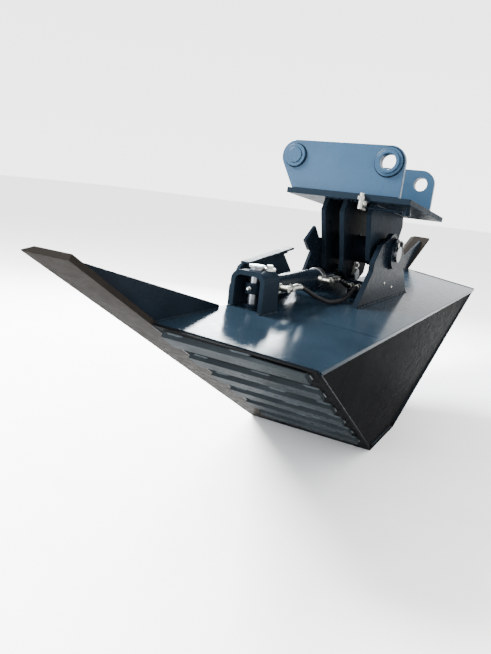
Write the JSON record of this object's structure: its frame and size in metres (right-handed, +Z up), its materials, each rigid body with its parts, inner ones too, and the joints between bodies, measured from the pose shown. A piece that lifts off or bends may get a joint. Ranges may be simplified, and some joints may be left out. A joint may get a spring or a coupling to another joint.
{
  "type": "tilting ditch bucket",
  "caption": "Hydraulic tilting V-profile ditch bucket for an excavator, with pin-on ears, a tilt head on a hub and shaft, a tilt cylinder and its hoses.",
  "frame": {"origin": "centre of the bounding box on the floor, under the middle of the flat keel", "axes": "+X across the bucket towards the tilt cylinder, +Y from the cutting edge to the closed back, +Z up"},
  "size_m": [2.4, 0.5021, 0.9205],
  "materials": {
    "paint": "gloss dark navy paint",
    "steel": "machined and oiled",
    "chrome": "polished hard chrome",
    "zinc": "zinc plated",
    "bronze": "machined bronze",
    "hose": "black hydraulic hose"
  },
  "bodies": {
    "bucket": {"side_plate_right": "paint", "side_plate_left": "paint", "bottom_plate": "paint", "back_plate": "paint", "deck_plate": "paint", "blade_right": "paint", "blade_left": "paint", "blade_bottom": "paint", "wing_gusset_right": "paint", "wing_gusset_left": "paint", "wear_strips_right": "paint", "wear_strips_left": "paint", "front_tower": "paint", "rear_tower": "paint", "tower_bosses": "paint", "tilt_shaft": "steel", "shaft_keeper": "paint", "shaft_keeper_bolts": "zinc", "cylinder_bracket": "paint", "base_pin_socket": "paint", "base_pin": "steel", "base_pin_keeper": "zinc", "keeper_bolt": "zinc", "cylinder_guard": "paint", "guard_lip": "paint", "hose_bracket": "paint", "hose_unions": "zinc"},
    "head": {"head_plate": "paint", "ear_right": "paint", "ear_left": "paint", "ear_bosses_right": "paint", "ear_bosses_left": "paint", "ear_pin": "paint", "ear_pin_keeper": "zinc", "rib_front": "paint", "rib_middle": "paint", "rib_rear": "paint", "hub_tube": "paint", "hub_bushes": "bronze", "rod_pin": "steel", "rod_pin_keeper": "zinc", "rod_pin_spacer": "paint", "edge_coupling": "zinc", "rear_coupling": "paint", "coupling_pipe": "paint"},
    "rod": {"cylinder_rod": "chrome", "rod_eye": "paint", "rod_eye_bush": "bronze", "piston": "steel"},
    "barrel": {"barrel": "paint", "gland": "steel", "base_cap": "paint", "base_fitting": "zinc", "gland_fitting": "zinc", "hose_base": "hose", "hose_gland": "hose"}
  },
  "joints": [
    {"name": "tilt", "type": "hinge", "parent": "bucket", "child": "head", "pos_m": [0, 0, 0.612], "axis": [0, -1, 0], "range_deg": [-27, 17]},
    {"name": "rod_pivot", "type": "hinge", "parent": "head", "child": "rod", "pos_m": [0.00732, -0.044, 0.52832], "axis": [0, -1, 0], "range_deg": [-18, 28]},
    {"name": "cylinder_stroke", "type": "slide", "parent": "rod", "child": "barrel", "axis": [1, 0, 0], "range_m": [-0.026, 0.04]}
  ],
  "couplings": [
    {"joint": "rod_pivot", "follows": "tilt", "ratio": -1},
    {"joint": "cylinder_stroke", "follows": "tilt", "m_per_rad": -0.08292}
  ]
}
